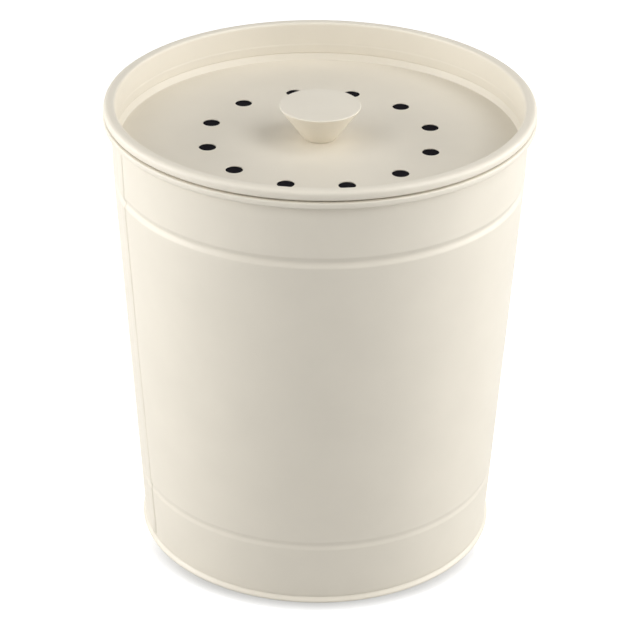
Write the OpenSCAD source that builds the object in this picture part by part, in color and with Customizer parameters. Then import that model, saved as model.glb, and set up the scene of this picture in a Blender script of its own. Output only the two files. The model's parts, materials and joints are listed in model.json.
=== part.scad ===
// Countertop compost caddy: a sheet-metal canister with a lift-off lid, a lift-out
// plastic liner with a swinging handle, and a charcoal filter held under the lid.
// Millimetres, +Z up, origin at the middle of the foot, on the worktop.

/* [Canister] */
// Height from the worktop to the top of the rolled rim
canister_h = 229.4; // [215:0.1:250]
// Outside diameter of the rolled rim
rim_d = 212.5; // [205:0.5:225]
// Width of the rolled edge itself, along a radius
curl_w = 4.2; // [3.6:0.1:5.2]
// Height of the rolled edge itself
curl_h = 3.4; // [2.8:0.1:5]
// Outside diameter of the wall just above the foot
foot_wall_d = 180.4; // [174:0.1:186]
// Thickness of the canister's sheet metal
sheet_t = 0.6; // [0.4:0.05:0.8]
// How much narrower the wall's radius is at the upper groove than at the rim
band_taper = 0.9; // [0:0.1:3]
// Distance from the top of the rim down to the upper groove
upper_groove_drop = 33.1; // [26:0.1:42]
// Height of the lower groove above the worktop
lower_groove_z = 34; // [24:0.1:46]
// Height of the upper pressed groove along the wall
upper_groove_w = 6.5; // [5:0.1:8]
// Depth of the upper pressed groove
upper_groove_depth = 1.05; // [0.6:0.05:1.4]
// Height of the lower pressed groove along the wall
lower_groove_w = 5.6; // [4:0.1:7]
// Depth of the lower pressed groove
lower_groove_depth = 0.45; // [0.3:0.05:1]

/* [Canister base] */
// Height at which the foot seam runs out into the wall
foot_seam_h = 3.8; // [3:0.1:4.2]
// Height of the foot seam's upright outer face
foot_face_h = 1.5; // [1:0.1:2.4]
// How far the foot seam stands out from the wall
foot_seam_out = 1.2; // [0.8:0.1:2.8]
// Height of the floor's underside above the worktop
floor_lift = 3.5; // [2.8:0.1:6]
// Depth of the shallow pressing in the middle of the floor
floor_press_depth = 0.8; // [0.4:0.1:1.4]
// Diameter of the shallow pressing in the middle of the floor
floor_press_d = 138; // [110:1:150]

/* [Side seam] */
// Width of the upright lap seam
seam_w = 7; // [4:0.1:10]
// How far the lap seam stands out from the wall
seam_t = 0.35; // [0.2:0.05:0.6]
// Direction of the lap seam, counter-clockwise from +X
seam_angle = 201.3; // [0:0.1:359]

/* [Lid] */
// Thickness of the lid's sheet metal
lid_t = 0.6; // [0.4:0.05:0.8]
// Width of the lid's rolled edge, along a radius
bead_w = 5.7; // [4:0.1:6.6]
// Height of the lid's rolled edge
bead_h = 5; // [4:0.1:5.8]
// Radial clearance between the lid's wall and the canister's mouth
lid_clearance = 1.2; // [0.3:0.1:2]
// Gap left between the two rolled edges when the lid is on
lid_gap = 0.5; // [0.25:0.05:0.8]
// Depth of the lid's panel below the canister's rim
panel_drop = 14.9; // [12.5:0.1:21]
// Height of the ledge in the lid's wall above the panel
ledge_z = 8; // [6:0.1:10]
// Width of the ledge in the lid's wall
ledge_w = 0.15; // [0.1:0.05:0.8]
// How far the lid's wall leans outwards above the ledge
wall_lean = 0.2; // [0:0.05:0.8]
// Number of vent holes
vent_count = 12; // [8:1:16]
// Diameter of a vent hole
vent_d = 8.5; // [5:0.1:11]
// Radius of the circle of vent holes
vent_circle_r = 56.4; // [46:0.1:62]
// Direction of the first vent hole, counter-clockwise from +X
vent_start = 13.6; // [0:0.1:29]

/* [Knob] */
// Diameter of the knob's top
knob_top_d = 40.2; // [30:0.2:50]
// Diameter of the knob's base
knob_base_d = 17.2; // [14:0.2:26]
// Height of the knob
knob_h = 17.3; // [14:0.1:24]
// Rounding of the knob's top edge
knob_edge_r = 0.5; // [0.3:0.05:1.2]

/* [Fixing stack] */
// Diameter of the threaded stud
stud_d = 5; // [4:0.5:6]
// Length of stud inside the knob
stud_in_knob = 10; // [7:0.5:12]
// Outside diameter of the flat washer
washer_d = 15; // [12:0.5:18]
// Thickness of the flat washer
washer_t = 1.2; // [0.8:0.1:1.6]
// Outside diameter of the split lock washer
lock_washer_d = 9.2; // [8.5:0.1:10.5]
// Thickness of the split lock washer
lock_washer_t = 1.2; // [0.8:0.1:1.6]
// Width of the hexagon nut across its flats
nut_af = 8; // [8:0.5:10]
// Height of the hexagon nut
nut_h = 4; // [3.2:0.1:5]

/* [Filter] */
// Diameter of the charcoal filter
filter_d = 150; // [136:1:156]
// Thickness of the charcoal filter
filter_t = 8; // [7.4:0.1:10]
// Diameter of the hole in the middle of the filter
filter_hole_d = 22; // [19:0.5:28]
// Thickness of the filter cover
cover_t = 2; // [1.4:0.1:2.6]
// Height of the cover's rim above its plate
cover_rim_h = 5; // [3:0.1:6.5]
// Width of a slot in the filter cover
slot_w = 5; // [3:0.1:6]
// Number of slots in the inner ring
inner_slots = 12; // [8:1:14]
// Number of slots in the outer ring
outer_slots = 24; // [16:1:28]
// Height of the boss under the cover
cover_boss_h = 1.5; // [0.8:0.1:2.5]
// Diameter of the thumb nut's body
thumb_nut_d = 18; // [15:0.5:22]
// Height of the thumb nut
thumb_nut_h = 8.5; // [7:0.1:10]
// Distance that the thumb nut unscrews along the stud
thumb_nut_travel = 8; // [6:0.5:9]

/* [Liner] */
// Space between the liner's rim and the lid's panel
liner_headroom = 8.7; // [8:0.1:12]
// Clearance between the liner's rim and the canister's upper groove
liner_clearance = 1.5; // [1:0.1:3]
// Space between the liner's floor and the canister's wall around it
liner_floor_gap = 6.6; // [4:0.1:14]
// Wall thickness of the liner
liner_t = 1.6; // [1.2:0.1:2.2]
// Width of the liner's flat rim, outside its wall
liner_rim_w = 3.3; // [2.8:0.1:4]
// Height of the skirt that hangs from the rim
liner_skirt_h = 8; // [5:0.1:12]
// Rounding between the liner's wall and floor
liner_corner_r = 9; // [5:0.5:14]
// Height of the ring that the liner stands on
liner_foot_h = 1.6; // [1:0.1:3]

/* [Handle] */
// Diameter of the handle's rod
rod_d = 4.8; // [4:0.1:5.2]
// Gap between the handle and the rim or ear beside it
handle_gap = 0.4; // [0.3:0.05:0.5]
// Diameter of the handle's pivot pins
pivot_d = 3.3; // [2.6:0.1:3.6]
// Radial clearance of a pivot pin in its ear
pivot_clearance = 0.06; // [0.02:0.01:0.1]
// Thickness of an ear
ear_t = 2.4; // [1.8:0.1:3]
// Wall of plastic round the pivot hole
ear_wall = 2.5; // [2:0.1:2.9]
// Height of the pad under each ear
ear_pad_h = 11; // [8:0.5:16]

/* [Hidden] */
$fn = 96;

cream = [0.91, 0.87, 0.78];
zinc = [0.75, 0.76, 0.78];
liner_grey = [0.62, 0.63, 0.62];
charcoal = [0.1, 0.1, 0.1];

// Points along each pressed groove, along a rounded corner and round a rolled edge
groove_steps = 12;
corner_steps = 8;
curl_steps = 24;
// Where a rolled edge ends, just short of the wall that it is rolled from
curl_end_angle = -115;
// Shape of the rolled edges' upper and lower halves: 1 is round, and less makes the faces
// flatter and the corners tighter
curl_shape = [0.5, 0.6];
bead_shape = [0.8, 0.5];
// How sharply the foot seam flares out of the wall
foot_flare = 1.7;

// Canister
curl_z = canister_h - curl_h / 2;
mouth_r = rim_d / 2 - curl_w;
curl_centre_r = mouth_r + curl_w / 2;
wall_top_r = mouth_r + sheet_t;
foot_wall_r = foot_wall_d / 2;
upper_groove_z = canister_h - upper_groove_drop;
upper_groove_r = wall_top_r - band_taper;
wall_straight_top = max(foot_seam_h, floor_lift + sheet_t) + 0.2;

// Outer radius of the plain wall at height z
function wall_line(z) =
    z < wall_straight_top ? foot_wall_r
    : z < upper_groove_z
        ? foot_wall_r + (upper_groove_r - foot_wall_r)
            * (z - wall_straight_top) / (upper_groove_z - wall_straight_top)
        : upper_groove_r + band_taper * (z - upper_groove_z) / (curl_z - upper_groove_z);

// Depth at height z of a groove with its middle at height centre_z
function groove_dip(z, centre_z, width, depth) =
    abs(z - centre_z) >= width / 2 ? 0
    : depth * (1 + cos(360 * (z - centre_z) / width)) / 2;

function wall_r(z) =
    wall_line(z) - groove_dip(z, upper_groove_z, upper_groove_w, upper_groove_depth)
        - groove_dip(z, lower_groove_z, lower_groove_w, lower_groove_depth);

function heights_across(centre_z, width) =
    [for (i = [0:groove_steps]) centre_z + width * (i / groove_steps - 0.5)];

groove_heights = concat(heights_across(lower_groove_z, lower_groove_w),
                        heights_across(upper_groove_z, upper_groove_w));
wall_heights = concat([wall_straight_top], groove_heights);

// Base
seam_outer_r = foot_wall_r + foot_seam_out;
floor_top = floor_lift + sheet_t;
riser_r = foot_wall_r - sheet_t;

// Lid
panel_z = canister_h - panel_drop;
panel_under = panel_z - lid_t;
lid_wall_r = mouth_r - lid_clearance - lid_t;
bead_centre_r = lid_wall_r + bead_w / 2;
bead_z = canister_h + lid_gap + bead_h / 2;
ledge_r = lid_wall_r - wall_lean - ledge_w;
panel_r = ledge_r - 1.1;

// Fixing stack, from the panel downwards
thread_gap = 0.05;
hole_gap = 0.3;
washer_z = panel_under - washer_t;
lock_washer_z = washer_z - lock_washer_t;
nut_z = lock_washer_z - nut_h;
filter_z = panel_under - filter_t;
cover_z = filter_z - cover_t;
boss_z = cover_z - cover_boss_h;
thumb_nut_z = boss_z - thumb_nut_h;
stud_end_z = thumb_nut_z - thumb_nut_travel + 3;
cover_gap = 0.4;
cover_inner_r = filter_d / 2 + cover_gap;
cover_outer_r = cover_inner_r + cover_t;

// Liner
liner_rim_z = panel_under - liner_headroom;
liner_rim_r = upper_groove_r - upper_groove_depth - sheet_t - liner_clearance;
liner_wall_r = liner_rim_r - liner_rim_w;
liner_floor_r = foot_wall_r - sheet_t - liner_floor_gap;
liner_foot_z = floor_top;
liner_floor_z = liner_foot_z + liner_foot_h;
liner_foot_r = liner_floor_r - liner_corner_r;
// Lean of the liner's wall, in degrees, where it leaves the rounded corner
wall_draft = 4;

// Handle
rod_r = rod_d / 2;
end_boss_r = rod_r + 0.4;
bail_r = liner_rim_r - end_boss_r;
pivot_z = liner_rim_z + end_boss_r + handle_gap;
ear_out_x = bail_r - end_boss_r - handle_gap;
ear_in_x = ear_out_x - ear_t;
ear_hole_d = pivot_d + 2 * pivot_clearance;
ear_r = ear_hole_d / 2 + ear_wall;
pin_head_t = 1.5;
pin_head_r = pivot_d / 2 + 1;

// Points of an arc about [cx, cz], from angle a0 to angle a1
function arc(cx, cz, r, a0, a1, steps = corner_steps) =
    [for (i = [0:steps]) let (a = a0 + (a1 - a0) * i / steps)
        [cx + r * cos(a), cz + r * sin(a)]];

// Points round a flattened roll, rx wide and rz high from its middle
function flat_arc(cx, cz, rx, rz, a0, a1, shape) =
    [for (i = [0:curl_steps])
        let (a = a0 + (a1 - a0) * i / curl_steps, flatness = sin(a) < 0 ? shape[1] : shape[0])
        [cx + rx * sign(cos(a)) * pow(abs(cos(a)), flatness),
         cz + rz * sign(sin(a)) * pow(abs(sin(a)), flatness)]];

// A sheet's edge rolled outwards: up the inner face, round the outside of the roll,
// and back round its inside to the wall's outer face
function rolled_edge(cx, cz, width, height, sheet, shape) =
    concat(flat_arc(cx, cz, width / 2, height / 2, 180, curl_end_angle, shape),
           flat_arc(cx, cz, width / 2 - sheet, height / 2 - sheet, curl_end_angle, 180, shape));

// A slot with round ends, cut along +X from radius r0 to radius r1
module radial_slot(r0, r1, z0, height) {
    translate([r0, -slot_w / 2, z0]) cube([r1 - r0, slot_w, height]);
    for (r = [r0, r1]) translate([r, 0, z0]) cylinder(d = slot_w, h = height, $fn = 24);
}

module canister_wall() {
    outer = concat([[foot_wall_r, sheet_t]], [for (z = wall_heights) [wall_r(z), z]]);
    count = len(outer);
    inner_up = [for (i = [0:count - 1]) [outer[i][0] - sheet_t, outer[i][1]]];
    outer_down = [for (i = [count - 1:-1:0]) outer[i]];
    color(cream) rotate_extrude($fn = 180)
        polygon(concat(inner_up,
                       rolled_edge(curl_centre_r, curl_z, curl_w, curl_h, sheet_t, curl_shape),
                       outer_down));
}

module side_seam() {
    seam_low = wall_straight_top + 0.2;
    seam_high = canister_h - curl_h - 0.4;
    heights = concat([seam_low], groove_heights, [seam_high]);
    count = len(heights);
    outer = [for (i = [0:count - 1]) [wall_r(heights[i]) + seam_t, heights[i]]];
    inner = [for (i = [count - 1:-1:0]) [wall_r(heights[i]), heights[i]]];
    sweep = seam_w / foot_wall_r * 180 / PI;
    color(cream) rotate([0, 0, seam_angle - sweep / 2])
        rotate_extrude(angle = sweep, $fn = 180) polygon(concat(outer, inner));
}

module canister_base() {
    edge_r = min(foot_face_h, foot_seam_out) * 0.35;
    press_r = floor_press_d / 2;
    press_slope = 2 * floor_press_depth;
    seam = concat([[riser_r - sheet_t, 0]],
                  arc(seam_outer_r - edge_r, edge_r, edge_r, -90, 0),
                  [for (i = [0:corner_steps]) let (t = i / corner_steps)
                      [foot_wall_r + foot_seam_out * pow(1 - t, foot_flare),
                       foot_face_h + (foot_seam_h - foot_face_h) * t]],
                  [[foot_wall_r, sheet_t], [riser_r, sheet_t],
                   [riser_r, floor_top], [press_r + press_slope, floor_top],
                   [press_r, floor_top - floor_press_depth], [0, floor_top - floor_press_depth],
                   [0, floor_lift - floor_press_depth], [press_r, floor_lift - floor_press_depth],
                   [press_r + press_slope, floor_lift], [riser_r - sheet_t, floor_lift]]);
    color(cream) rotate_extrude($fn = 180) polygon(seam);
}

// Upper surface of the lid, as [radius, height above the panel]
lid_face = [[panel_r - 0.5, 0], [panel_r - 0.15, 0.15], [panel_r, 0.5],
            [panel_r + 1.3, 3.3], [panel_r + 1.4, 3.6], [ledge_r, 4.2],
            [ledge_r, ledge_z], [ledge_r + ledge_w, ledge_z + 0.6]];

module lid_pan() {
    face = concat([[0, 0]], lid_face);
    back = concat([for (i = [len(face) - 1:-1:3]) [face[i][0] + lid_t, face[i][1]]],
                  [[panel_r + lid_t - 0.15, -lid_t + 0.3], [panel_r - 0.2, -lid_t], [0, -lid_t]]);
    bead = rolled_edge(bead_centre_r, bead_z - panel_z, bead_w, bead_h, lid_t, bead_shape);
    color(cream) difference() {
        translate([0, 0, panel_z]) rotate_extrude($fn = 180) polygon(concat(face, bead, back));
        for (i = [0:vent_count - 1]) rotate([0, 0, vent_start + i * 360 / vent_count])
            translate([vent_circle_r, 0, panel_under - 1]) cylinder(d = vent_d, h = lid_t + 2);
        translate([0, 0, panel_under - 1]) cylinder(d = stud_d + 2 * hole_gap, h = lid_t + 2);
    }
}

module lid_knob() {
    top_r = knob_top_d / 2;
    foot_r = knob_base_d / 2;
    foot_edge = 0.7;
    flare = atan((top_r - foot_r) / knob_h);
    outline = concat([[0, 0], [foot_r - foot_edge, 0], [foot_r, foot_edge]],
                     arc(top_r - knob_edge_r, knob_h - knob_edge_r, knob_edge_r, -flare, 90),
                     [[0, knob_h]]);
    color(cream) translate([0, 0, panel_z]) difference() {
        rotate_extrude() polygon(outline);
        translate([0, 0, -1])
            cylinder(d = stud_d + 2 * thread_gap, h = stud_in_knob + 1.5);
    }
}

module knob_stud() {
    tip = 0.6;
    top_z = panel_z + stud_in_knob;
    color(zinc) rotate_extrude($fn = 48)
        polygon([[0, stud_end_z], [stud_d / 2 - tip, stud_end_z], [stud_d / 2, stud_end_z + tip],
                 [stud_d / 2, top_z - tip], [stud_d / 2 - tip, top_z], [0, top_z]]);
}

module ring(outer_d, inner_d, height) {
    difference() {
        cylinder(d = outer_d, h = height);
        translate([0, 0, -1]) cylinder(d = inner_d, h = height + 2);
    }
}

module knob_washer() {
    color(zinc) translate([0, 0, washer_z]) ring(washer_d, stud_d + 2 * hole_gap, washer_t);
}

module knob_lock_washer() {
    split_w = 0.8;
    color(zinc) translate([0, 0, lock_washer_z]) difference() {
        ring(lock_washer_d, stud_d + 2 * hole_gap, lock_washer_t);
        translate([0, -split_w / 2, -1]) cube([lock_washer_d, split_w, lock_washer_t + 2]);
    }
}

module knob_nut() {
    corner_d = nut_af / cos(30);
    color(zinc) translate([0, 0, nut_z]) difference() {
        cylinder(d = corner_d, h = nut_h, $fn = 6);
        translate([0, 0, -1]) cylinder(d = stud_d + 2 * thread_gap, h = nut_h + 2);
    }
}

module charcoal_filter() {
    color(charcoal) translate([0, 0, filter_z]) ring(filter_d, filter_hole_d, filter_t);
}

module filter_cover() {
    hub_r = filter_hole_d / 2 + 4;
    inner_r0 = hub_r + slot_w / 2;
    outer_r1 = cover_inner_r - 4 - slot_w / 2;
    mid_r = (inner_r0 + outer_r1) / 2 - 2;
    color(liner_grey) difference() {
        union() {
            translate([0, 0, cover_z]) cylinder(r = cover_outer_r, h = cover_t + cover_rim_h);
            translate([0, 0, boss_z]) cylinder(r = thumb_nut_d / 3, h = cover_boss_h + 1);
        }
        translate([0, 0, filter_z]) cylinder(r = cover_inner_r, h = cover_rim_h + 1);
        translate([0, 0, boss_z - 1]) cylinder(d = stud_d + 2 * hole_gap, h = cover_t + cover_boss_h + 2);
        for (i = [0:inner_slots - 1]) rotate([0, 0, i * 360 / inner_slots])
            radial_slot(inner_r0, mid_r - slot_w, cover_z - 1, cover_t + 2);
        for (i = [0:outer_slots - 1]) rotate([0, 0, (i + 0.5) * 360 / outer_slots])
            radial_slot(mid_r + slot_w, outer_r1, cover_z - 1, cover_t + 2);
    }
}

module thumb_nut() {
    lobes = 6;
    lobe_r = thumb_nut_d / 6;
    grip_h = thumb_nut_h * 0.65;
    color(charcoal) translate([0, 0, thumb_nut_z]) difference() {
        union() {
            cylinder(d = thumb_nut_d, h = grip_h);
            for (i = [0:lobes - 1]) rotate([0, 0, i * 360 / lobes])
                translate([thumb_nut_d / 2, 0, 0]) cylinder(r = lobe_r, h = grip_h, $fn = 32);
            cylinder(d = thumb_nut_d * 0.62, h = thumb_nut_h);
        }
        translate([0, 0, -1]) cylinder(d = stud_d + 2 * thread_gap, h = thumb_nut_h + 2);
    }
}

module liner_shell() {
    skirt_z = liner_rim_z - liner_skirt_h;
    rim_under = liner_rim_z - liner_t;
    bend = 0.8;
    inner_corner = max(liner_corner_r - liner_t, 1);
    corner_start = -90 + wall_draft;
    corner_end = -wall_draft;
    outline = concat(
        [[0, liner_floor_z], [liner_foot_r - liner_t, liner_floor_z],
         [liner_foot_r - liner_t, liner_foot_z], [liner_foot_r, liner_foot_z],
         [liner_foot_r, liner_floor_z]],
        arc(liner_floor_r - liner_corner_r, liner_floor_z + liner_corner_r, liner_corner_r,
            corner_start, corner_end),
        [[liner_wall_r, rim_under], [liner_rim_r - liner_t, rim_under],
         [liner_rim_r - liner_t, skirt_z], [liner_rim_r, skirt_z],
         [liner_rim_r, liner_rim_z - bend], [liner_rim_r - bend, liner_rim_z],
         [liner_wall_r - liner_t + bend, liner_rim_z], [liner_wall_r - liner_t, liner_rim_z - bend]],
        arc(liner_floor_r - liner_corner_r, liner_floor_z + liner_corner_r, inner_corner,
            corner_end, corner_start),
        [[0, liner_floor_z + liner_t]]);
    rotate_extrude($fn = 180) polygon(outline);
}

module liner_ear() {
    pad_r = liner_wall_r - liner_t / 2;
    intersection() {
        union() {
            translate([ear_in_x, 0, pivot_z]) rotate([0, 90, 0]) cylinder(r = ear_r, h = ear_t);
            translate([ear_in_x, -ear_r, liner_rim_z - ear_pad_h])
                cube([ear_t, 2 * ear_r, pivot_z - liner_rim_z + ear_pad_h]);
            translate([ear_in_x, -ear_r, liner_rim_z - ear_pad_h])
                cube([liner_wall_r - ear_in_x, 2 * ear_r, ear_pad_h - 1]);
        }
        union() {
            translate([0, 0, liner_rim_z - 1]) cylinder(r = ear_out_x, h = ear_pad_h + 2 * ear_r);
            translate([0, 0, liner_rim_z - ear_pad_h - 1])
                cylinder(r = pad_r, h = ear_pad_h);
        }
    }
}

module liner_bucket() {
    color(liner_grey) difference() {
        union() {
            liner_shell();
            for (side = [0, 1]) mirror([side, 0, 0]) liner_ear();
        }
        for (side = [0, 1]) mirror([side, 0, 0])
            translate([ear_in_x - 1, 0, pivot_z]) rotate([0, 90, 0])
                cylinder(d = ear_hole_d, h = ear_t + 2);
    }
}

module liner_handle() {
    head_x = ear_in_x - handle_gap - pin_head_t;
    color(liner_grey) translate([0, 0, pivot_z]) {
        rotate_extrude(angle = 180, $fn = 180) translate([bail_r, 0]) circle(rod_r, $fn = 32);
        for (side = [0, 1]) mirror([side, 0, 0]) rotate([0, 90, 0]) {
            translate([0, 0, bail_r - end_boss_r])
                cylinder(r = end_boss_r, h = 2 * end_boss_r, $fn = 48);
            translate([0, 0, head_x])
                cylinder(d = pivot_d, h = bail_r - end_boss_r - head_x + 1, $fn = 48);
            translate([0, 0, head_x]) cylinder(r = pin_head_r, h = pin_head_t, $fn = 48);
        }
    }
}

canister_wall();
side_seam();
canister_base();
lid_pan();
lid_knob();
knob_stud();
knob_washer();
knob_lock_washer();
knob_nut();
charcoal_filter();
filter_cover();
thumb_nut();
liner_bucket();
liner_handle();
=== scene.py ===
"""Compost caddy with a lift-off vented lid: the detailed pieces, materials, studio and camera.

Every piece is built in millimetres about the caddy's own axis (+Z up, foot at z = 0) and
scaled to metres as it is made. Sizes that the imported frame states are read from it.
"""
import json
from math import atan2, copysign, cos, degrees, pi, radians, sin, sqrt, tan

import bmesh
import bpy
from mathutils import Matrix, Vector

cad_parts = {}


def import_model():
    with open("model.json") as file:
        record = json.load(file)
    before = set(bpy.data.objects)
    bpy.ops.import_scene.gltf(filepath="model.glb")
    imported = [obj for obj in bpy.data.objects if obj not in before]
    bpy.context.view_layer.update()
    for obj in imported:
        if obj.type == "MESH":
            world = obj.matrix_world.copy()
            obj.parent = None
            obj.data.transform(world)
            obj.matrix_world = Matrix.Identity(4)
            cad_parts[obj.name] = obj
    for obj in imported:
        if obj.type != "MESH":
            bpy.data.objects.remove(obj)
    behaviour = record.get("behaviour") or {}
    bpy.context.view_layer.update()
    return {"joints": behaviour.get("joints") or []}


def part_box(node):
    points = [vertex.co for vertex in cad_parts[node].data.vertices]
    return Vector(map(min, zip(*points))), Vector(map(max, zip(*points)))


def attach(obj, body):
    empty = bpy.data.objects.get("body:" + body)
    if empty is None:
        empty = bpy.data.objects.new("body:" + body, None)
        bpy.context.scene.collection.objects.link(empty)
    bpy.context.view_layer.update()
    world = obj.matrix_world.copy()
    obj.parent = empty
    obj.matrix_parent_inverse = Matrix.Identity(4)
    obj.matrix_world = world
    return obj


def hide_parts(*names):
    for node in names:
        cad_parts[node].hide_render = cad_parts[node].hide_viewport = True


MM = 0.001
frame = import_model()


def node_mm(node):
    """(largest radius, lowest z, highest z) of a CAD node, in mm."""
    low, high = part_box(node)
    return max(high.x, high.y) / MM, low.z / MM, high.z / MM


# ---------------------------------------------------------------- sizes, in mm and degrees
RIM_R, _, CANISTER_H = node_mm("canister_wall")
SEAM_OUTER_R = node_mm("canister_base")[0]
KNOB_TOP_R, PANEL_Z, KNOB_TOP_Z = node_mm("lid_knob")
STUD_R, STUD_LOW_Z, STUD_HIGH_Z = node_mm("knob_stud")
WASHER_R, WASHER_LOW_Z, WASHER_HIGH_Z = node_mm("knob_washer")
LOCK_R, LOCK_LOW_Z, LOCK_HIGH_Z = node_mm("knob_lock_washer")
_, NUT_LOW_Z, NUT_HIGH_Z = node_mm("knob_nut")
FILTER_R, FILTER_LOW_Z, FILTER_HIGH_Z = node_mm("charcoal_filter")
COVER_R, BOSS_LOW_Z, COVER_TOP_Z = node_mm("filter_cover")
_, THUMB_LOW_Z, THUMB_HIGH_Z = node_mm("thumb_nut")
LINER_RIM_R, LINER_FOOT_Z, _ = node_mm("liner_bucket")

SHEET = 0.6
FOOT_WALL_R = 90.2
CURL_W, CURL_H = 4.2, 3.4
# Flatness of a roll's top outside, top inside and lower half: 1 is round, less makes flatter faces
CURL_SHAPE = (0.5, 0.5, 0.6)
MOUTH_R = RIM_R - CURL_W
BAND_TAPER = 0.9
UPPER_GROOVE_Z = CANISTER_H - 33.1
# Height of the middle, width and depth of each pressed groove
GROOVES = ((34.0, 5.6, 0.45), (UPPER_GROOVE_Z, 6.5, 1.05))
WALL_STRAIGHT_TOP = 4.3
FOOT_SEAM_H = 2.8
FOOT_FACE_H = 0.4
FLOOR_TOP = 4.1
FLOOR_PRESS_R = 69.0
FLOOR_PRESS_DEPTH = 0.8
SEAM_ANGLE = 201.3
SEAM_SHIFT = 0.85
SEAM_W = 7.0
SEAM_RISE = 0.35
SEAM_SHARP_W = 0.5
SEAM_FADED_W = 3.0
SEAM_LEAN = 0.0095
SEAM_LEAN_TOP_Z = 140.0
# The crease beside the seam's sharp edge: its depth, then what is added near the foot and in the
# upper part, with the height at which that starts and the height over which it fades
CREASE_DEPTH = 0.06
CREASE_FOOT_DEPTH, CREASE_FOOT_TOP_Z, CREASE_FOOT_FADE = 0.2, 32.0, 8.0
CREASE_UPPER_DEPTH, CREASE_UPPER_LOW_Z, CREASE_UPPER_FADE = 0.1, 125.0, 20.0
CREASE_HALF_W, CREASE_FOOT_EXTRA_W, CREASE_OFF = 0.3, 0.3, 0.05

BEAD_W, BEAD_H = 5.7, 4.87
BEAD_SHAPE = (0.8, 0.5, 0.5)
LID_GAP = 0.63
LID_WALL_R = MOUTH_R - SHEET - 1.2
LEDGE_W = 0.15
LEDGE_R = LID_WALL_R - 0.2 - LEDGE_W
LEDGE_UP = 8.0
LEDGE_FOOT_UP = 4.0
PANEL_UNDER = PANEL_Z - SHEET
PANEL_R = LEDGE_R - 1.1
PANEL_RISE_W, PANEL_RISE_H = 1.4, 3.45
VENTS = 12
VENT_R = 4.25
VENT_CIRCLE_R = 56.4
VENT_START = 13.6

KNOB_FOOT_R = 8.6
KNOB_FOOT_EDGE = 0.7
KNOB_EDGE_R = 0.5
KNOB_BORE_H = 10.5
THREAD_GAP = 0.05
HOLE_R = STUD_R + 0.3
NUT_FLAT_R = 4.0
THREAD_PITCH = 0.8
THREAD_DEPTH = 0.45
LOCK_SPLIT_W = 0.8

COVER_T = 2.0
COVER_INNER_R = COVER_R - COVER_T
COVER_LOW_Z = FILTER_LOW_Z - COVER_T
BOSS_R = 6.0
FILTER_HOLE_R = 11.0
SLOT_W = 5.0
INNER_SLOTS = 12
OUTER_SLOTS = 24
THUMB_LOBES = 6
THUMB_GRIP_R = 9.0
THUMB_VALLEY_UP = 0.35
THUMB_COLLAR_R = 5.6

LINER_T = 1.6
LINER_RIM_Z = PANEL_UNDER - 8.7
LINER_WALL_R = LINER_RIM_R - 3.3
LINER_FLOOR_R = FOOT_WALL_R - SHEET - 6.6
LINER_FLOOR_Z = LINER_FOOT_Z + 1.6
LINER_CORNER_R = 9.0
LINER_SKIRT_H = 8.0
ROD_R = 2.4
BOSS_END_R = 2.8
BAIL_R = LINER_RIM_R - BOSS_END_R
PIVOT_Z = next(j for j in frame["joints"] if j["name"] == "handle_swing")["pos_m"][2] / MM
PIN_R = 1.65
PIN_GAP = 0.06
EAR_T = 2.4
EAR_OUT_X = BAIL_R - BOSS_END_R - 0.4
EAR_R = 4.21
EAR_PAD_H = 11.0
EAR_EDGE = 0.4
PIN_HEAD_T = 1.5
PIN_HEAD_R = PIN_R + 1
PIN_HEAD_X = EAR_OUT_X - EAR_T - 0.4 - PIN_HEAD_T

# Facets of a full turn, and of a rounded corner
ROUND = 360
FINE_ARC = 6

# ---------------------------------------------------------------- camera and light
CAMERA_AT = (0.0, -1.1236, 0.7213)
CAMERA_PITCH = 0.497
CAMERA_YAW = 0.0011
CAMERA_ROLL = 0.0127
LENS = 140.24

FLOOR_R = 8.0
FLOOR_TONE = 0.5
# Share of the floor's glow near the caddy, and where it starts and ends its rise to full, in metres
FLOOR_GLOW, GLOW_NEAR, GLOW_FAR = 0.76, 0.4, 1.6
# Reach of the painted contact shadow, which dims the floor's glow by ambient occlusion, how much darker
# it is in front, and where that starts and is full
CONTACT_REACH = 0.012
FLOOR_SHADE, SHADE_START_Y, SHADE_FULL_Y = 4.0, -0.03, -0.08
REFLECTED = 0.6
LAMP_AIM_Z = 0.12
SIDE_LAMP_W = 0.7
SIDE_LAMP_DISTANCE = 1.4

PAINT = (0.772, 0.72, 0.617, 1.0)


# ---------------------------------------------------------------- mesh helpers
def clamp(value):
    return max(0.0, min(1.0, value))


def smooth_step(t):
    """0 to 1 with a level start and a level end."""
    return t * t * (3 - 2 * t)


def arc(cx, cz, r, start, end, steps=FINE_ARC):
    """Points of an arc about (cx, cz) between two angles in degrees."""
    turns = [radians(start + (end - start) * i / steps) for i in range(steps + 1)]
    return [(cx + r * cos(t), cz + r * sin(t)) for t in turns]


def soften(points, closed=True):
    """Rounds an outline's corners. A point is (x, y), kept as it is, or (x, y, radius).

    A short flat run is kept on each side of an arc, so that smooth shading stays on the arc.
    """
    flat_run, longest = 1.18, 0.42
    result = []
    count = len(points)
    for i, point in enumerate(points):
        if len(point) == 2 or (not closed and i in (0, count - 1)):
            result.append(point[:2])
            continue
        here = Vector(point[:2])
        back = Vector(points[i - 1][:2]) - here
        ahead = Vector(points[(i + 1) % count][:2]) - here
        half = back.angle(ahead) / 2
        reach = min(point[2] / tan(half), longest * back.length, longest * ahead.length)
        radius = reach * tan(half)
        back_dir, ahead_dir = back.normalized(), ahead.normalized()
        centre = here + (back_dir + ahead_dir).normalized() * radius / sin(half)
        first = here + back_dir * reach - centre
        last = here + ahead_dir * reach - centre
        turn = atan2(first.x * last.y - first.y * last.x, first.dot(last))
        result.append(tuple(here + back_dir * reach * flat_run))
        for k in range(FINE_ARC + 1):
            result.append(tuple(centre + Matrix.Rotation(turn * k / FINE_ARC, 2) @ first))
        result.append(tuple(here + ahead_dir * reach * flat_run))
    return result


def even_angles(count=ROUND):
    return [360 * i / count for i in range(count)]


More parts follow.
